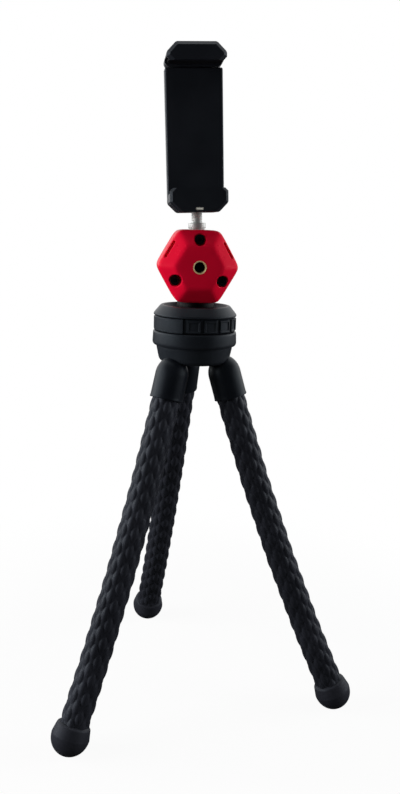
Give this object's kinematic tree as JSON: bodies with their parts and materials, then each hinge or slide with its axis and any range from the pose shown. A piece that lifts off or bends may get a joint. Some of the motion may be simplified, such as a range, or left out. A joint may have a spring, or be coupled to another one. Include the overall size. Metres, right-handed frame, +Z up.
{
  "type": "flexible leg tripod",
  "caption": "Small tripod with bendable rubber legs, a lock-ring hub, a red hexagonal ball head and a sprung phone clamp.",
  "frame": {"origin": "on the floor, in the middle of the box round the three feet", "axes": "+Z up; the head and clamp face -Y; +X to the right of someone who faces the clamp"},
  "size_m": [0.186, 0.1822, 0.3965],
  "materials": {
    "clamp_plastic": "fine matt black moulding",
    "pad_rubber": "matt black",
    "bright_steel": "bright turned",
    "screw_steel": "black oxide",
    "insert_brass": "turned",
    "nylon": "natural",
    "red_anodised": "satin red anodised",
    "turned_metal": "turned",
    "ring_plastic": "fine matt charcoal moulding",
    "hub_plastic": "satin charcoal moulding",
    "core_metal": "soft drawn rod",
    "leg_rubber": "satin black, moulded bumps"
  },
  "bodies": {
    "hub": {"hub_body": "hub_plastic", "hub_top": "hub_plastic", "hub_screws": "screw_steel", "sleeve_screws": "screw_steel", "pan_collet": "nylon", "leg_a_sleeve": "hub_plastic", "leg_a_core": "core_metal", "leg_a_flex_1": "leg_rubber", "leg_b_sleeve": "hub_plastic", "leg_b_core": "core_metal", "leg_b_flex_1": "leg_rubber", "leg_c_sleeve": "hub_plastic", "leg_c_core": "core_metal", "leg_c_flex_1": "leg_rubber"},
    "lock_ring": {"lock_ring": "ring_plastic"},
    "head": {"head_body": "red_anodised", "head_front_cap": "red_anodised", "head_cap_screws": "screw_steel", "head_thread_insert": "insert_brass", "head_stem": "turned_metal", "stem_nut": "turned_metal", "ball_disc_springs": "bright_steel"},
    "ball_cup": {"ball_cup": "nylon"},
    "ball_stud": {"ball_stud": "bright_steel"},
    "clamp": {"clamp_body": "clamp_plastic", "clamp_back_cover": "clamp_plastic", "clamp_cover_screws": "screw_steel", "clamp_springs": "bright_steel", "clamp_lower_pad": "pad_rubber", "clamp_thread_insert": "insert_brass"},
    "clamp_slider": {"clamp_slider": "clamp_plastic", "clamp_upper_pad": "pad_rubber"},
    "leg_a_link_1": {"leg_a_skin_1": "leg_rubber", "leg_a_flex_2": "leg_rubber"},
    "leg_a_link_2": {"leg_a_skin_2": "leg_rubber", "leg_a_flex_3": "leg_rubber"},
    "leg_a_link_3": {"leg_a_skin_3": "leg_rubber", "leg_a_flex_4": "leg_rubber"},
    "leg_a_link_4": {"leg_a_skin_4": "leg_rubber", "leg_a_foot": "leg_rubber"},
    "leg_b_link_1": {"leg_b_skin_1": "leg_rubber", "leg_b_flex_2": "leg_rubber"},
    "leg_b_link_2": {"leg_b_skin_2": "leg_rubber", "leg_b_flex_3": "leg_rubber"},
    "leg_b_link_3": {"leg_b_skin_3": "leg_rubber", "leg_b_flex_4": "leg_rubber"},
    "leg_b_link_4": {"leg_b_skin_4": "leg_rubber", "leg_b_foot": "leg_rubber"},
    "leg_c_link_1": {"leg_c_skin_1": "leg_rubber", "leg_c_flex_2": "leg_rubber"},
    "leg_c_link_2": {"leg_c_skin_2": "leg_rubber", "leg_c_flex_3": "leg_rubber"},
    "leg_c_link_3": {"leg_c_skin_3": "leg_rubber", "leg_c_flex_4": "leg_rubber"},
    "leg_c_link_4": {"leg_c_skin_4": "leg_rubber", "leg_c_foot": "leg_rubber"}
  },
  "joints": [
    {"name": "lock_ring_turn", "type": "hinge", "parent": "hub", "child": "lock_ring", "pos_m": [-0.01047, -0.01454, 0.23761], "axis": [0, 0, 1], "range_deg": [0, 60]},
    {"name": "head_pan", "type": "hinge", "parent": "hub", "child": "head", "pos_m": [-0.01047, -0.01454, 0.25241], "axis": [0, 0, 1], "continuous": true},
    {"name": "ball_pan", "type": "hinge", "parent": "head", "child": "ball_cup", "pos_m": [-0.01047, -0.01454, 0.28991], "axis": [0, 0, 1], "continuous": true},
    {"name": "ball_tilt", "type": "hinge", "parent": "ball_cup", "child": "ball_stud", "pos_m": [-0.01047, -0.01454, 0.28991], "axis": [1, 0, 0], "range_deg": [-20, 20]},
    {"name": "clamp_turn", "type": "hinge", "parent": "ball_stud", "child": "clamp", "pos_m": [-0.01123, -0.01454, 0.30609], "axis": [-0.0471, 0, 0.9989], "continuous": true},
    {"name": "jaw_slide", "type": "slide", "parent": "clamp", "child": "clamp_slider", "axis": [-0.0471, 0, 0.9989], "range_m": [0, 0.025], "stiffness_N_per_m": 180, "springref_m": -0.02, "deforming": ["clamp_springs"]},
    {"name": "leg_a_bend_1", "type": "hinge", "parent": "hub", "child": "leg_a_link_1", "pos_m": [0.01334, -0.02205, 0.19285], "axis": [-0.3007, -0.9537, 0], "range_deg": [-26, 50], "deforming": ["leg_a_flex_1", "leg_a_core"]},
    {"name": "leg_a_bend_2", "type": "hinge", "parent": "leg_a_link_1", "child": "leg_a_link_2", "pos_m": [0.02863, -0.02687, 0.14549], "axis": [0.8982, -0.2832, 0.3363], "range_deg": [-45, 45], "deforming": ["leg_a_flex_2", "leg_a_core"]},
    {"name": "leg_a_bend_3", "type": "hinge", "parent": "leg_a_link_2", "child": "leg_a_link_3", "pos_m": [0.0454, -0.03216, 0.09868], "axis": [0.3007, 0.9537, 0], "range_deg": [-45, 45], "deforming": ["leg_a_flex_3", "leg_a_core"]},
    {"name": "leg_a_bend_4", "type": "hinge", "parent": "leg_a_link_3", "child": "leg_a_link_4", "pos_m": [0.06365, -0.03791, 0.05249], "axis": [0.3007, 0.9537, 0], "range_deg": [-45, 45], "deforming": ["leg_a_flex_4", "leg_a_core"]},
    {"name": "leg_b_bend_1", "type": "hinge", "parent": "hub", "child": "leg_b_link_1", "pos_m": [-0.01587, 0.00983, 0.19285], "axis": [0.9763, 0.2164, 0], "range_deg": [-26, 50], "deforming": ["leg_b_flex_1", "leg_b_core"]},
    {"name": "leg_b_bend_2", "type": "hinge", "parent": "leg_b_link_1", "child": "leg_b_link_2", "pos_m": [-0.01934, 0.02548, 0.14549], "axis": [-0.2038, 0.9194, 0.3363], "range_deg": [-45, 45], "deforming": ["leg_b_flex_2", "leg_b_core"]},
    {"name": "leg_b_bend_3", "type": "hinge", "parent": "leg_b_link_2", "child": "leg_b_link_3", "pos_m": [-0.02315, 0.04265, 0.09868], "axis": [-0.9763, -0.2164, 0], "range_deg": [-45, 45], "deforming": ["leg_b_flex_3", "leg_b_core"]},
    {"name": "leg_b_bend_4", "type": "hinge", "parent": "leg_b_link_3", "child": "leg_b_link_4", "pos_m": [-0.02729, 0.06133, 0.05249], "axis": [-0.9763, -0.2164, 0], "range_deg": [-45, 45], "deforming": ["leg_b_flex_4", "leg_b_core"]},
    {"name": "leg_c_bend_1", "type": "hinge", "parent": "hub", "child": "leg_c_link_1", "pos_m": [-0.02887, -0.0314, 0.19285], "axis": [-0.6756, 0.7373, 0], "range_deg": [-26, 50], "deforming": ["leg_c_flex_1", "leg_c_core"]},
    {"name": "leg_c_bend_2", "type": "hinge", "parent": "leg_c_link_1", "child": "leg_c_link_2", "pos_m": [-0.04069, -0.04223, 0.14549], "axis": [-0.6943, -0.6362, 0.3363], "range_deg": [-45, 45], "deforming": ["leg_c_flex_2", "leg_c_core"]},
    {"name": "leg_c_bend_3", "type": "hinge", "parent": "leg_c_link_2", "child": "leg_c_link_3", "pos_m": [-0.05366, -0.05412, 0.09868], "axis": [0.6756, -0.7373, 0], "range_deg": [-45, 45], "deforming": ["leg_c_flex_3", "leg_c_core"]},
    {"name": "leg_c_bend_4", "type": "hinge", "parent": "leg_c_link_3", "child": "leg_c_link_4", "pos_m": [-0.06777, -0.06705, 0.05249], "axis": [0.6756, -0.7373, 0], "range_deg": [-45, 45], "deforming": ["leg_c_flex_4", "leg_c_core"]}
  ]
}
